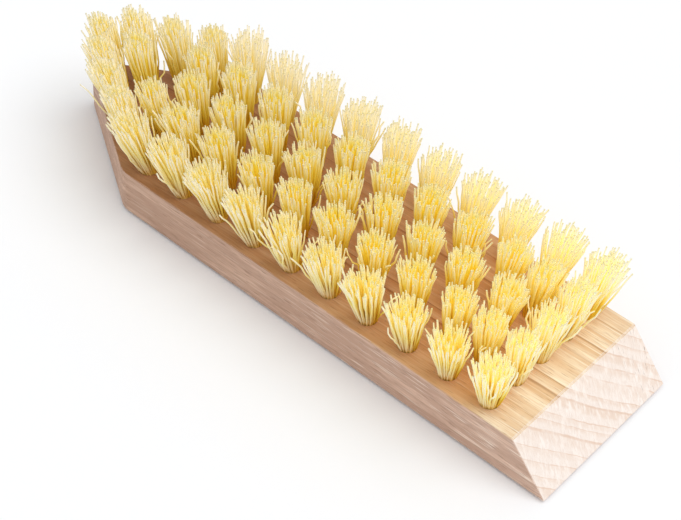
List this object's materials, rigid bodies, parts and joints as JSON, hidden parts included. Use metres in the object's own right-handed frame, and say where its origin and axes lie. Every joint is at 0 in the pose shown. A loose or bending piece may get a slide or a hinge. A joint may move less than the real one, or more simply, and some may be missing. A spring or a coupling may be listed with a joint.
{
  "type": "mud brush",
  "caption": "Wooden block with a pointed nose and a bevelled scraping butt, drilled from one face and set with rows of stiff plant-fibre tufts for brushing mud off boots.",
  "frame": {"origin": "on the plane of the flat back, under the middle of the whole brush's box", "axes": "+X along the brush from its pointed nose to its bevelled butt, +Y across it, +Z out of the tufted face; the brush lies on its back with the bristles up"},
  "size_m": [0.1976, 0.0618, 0.0352],
  "materials": {
    "wood": "matte, planed and unvarnished, with open grain and pale end grain at the butt",
    "fibre": "satin straw-yellow plant fibre, slightly translucent"
  },
  "bodies": {
    "root": {"block": "wood", "tuft_near_01": "fibre", "tuft_near_02": "fibre", "tuft_near_03": "fibre", "tuft_near_04": "fibre", "tuft_near_05": "fibre", "tuft_near_06": "fibre", "tuft_near_07": "fibre", "tuft_near_08": "fibre", "tuft_near_09": "fibre", "tuft_near_10": "fibre", "tuft_near_inner_01": "fibre", "tuft_near_inner_02": "fibre", "tuft_near_inner_03": "fibre", "tuft_near_inner_04": "fibre", "tuft_near_inner_05": "fibre", "tuft_near_inner_06": "fibre", "tuft_near_inner_07": "fibre", "tuft_near_inner_08": "fibre", "tuft_near_inner_09": "fibre", "tuft_near_inner_10": "fibre", "tuft_near_inner_11": "fibre", "tuft_middle_01": "fibre", "tuft_middle_02": "fibre", "tuft_middle_03": "fibre", "tuft_middle_04": "fibre", "tuft_middle_05": "fibre", "tuft_middle_06": "fibre", "tuft_middle_07": "fibre", "tuft_middle_08": "fibre", "tuft_middle_09": "fibre", "tuft_middle_10": "fibre", "tuft_far_inner_01": "fibre", "tuft_far_inner_02": "fibre", "tuft_far_inner_03": "fibre", "tuft_far_inner_04": "fibre", "tuft_far_inner_05": "fibre", "tuft_far_inner_06": "fibre", "tuft_far_inner_07": "fibre", "tuft_far_inner_08": "fibre", "tuft_far_inner_09": "fibre", "tuft_far_inner_10": "fibre", "tuft_far_inner_11": "fibre", "tuft_far_01": "fibre", "tuft_far_02": "fibre", "tuft_far_03": "fibre", "tuft_far_04": "fibre", "tuft_far_05": "fibre", "tuft_far_06": "fibre", "tuft_far_07": "fibre", "tuft_far_08": "fibre", "tuft_far_09": "fibre", "tuft_far_10": "fibre", "tuft_nose_near_1": "fibre", "tuft_nose_near_2": "fibre", "tuft_nose_near_3": "fibre", "tuft_nose_far_1": "fibre", "tuft_nose_far_2": "fibre", "tuft_nose_far_3": "fibre", "tuft_nose_tip": "fibre"}
  },
  "joints": []
}
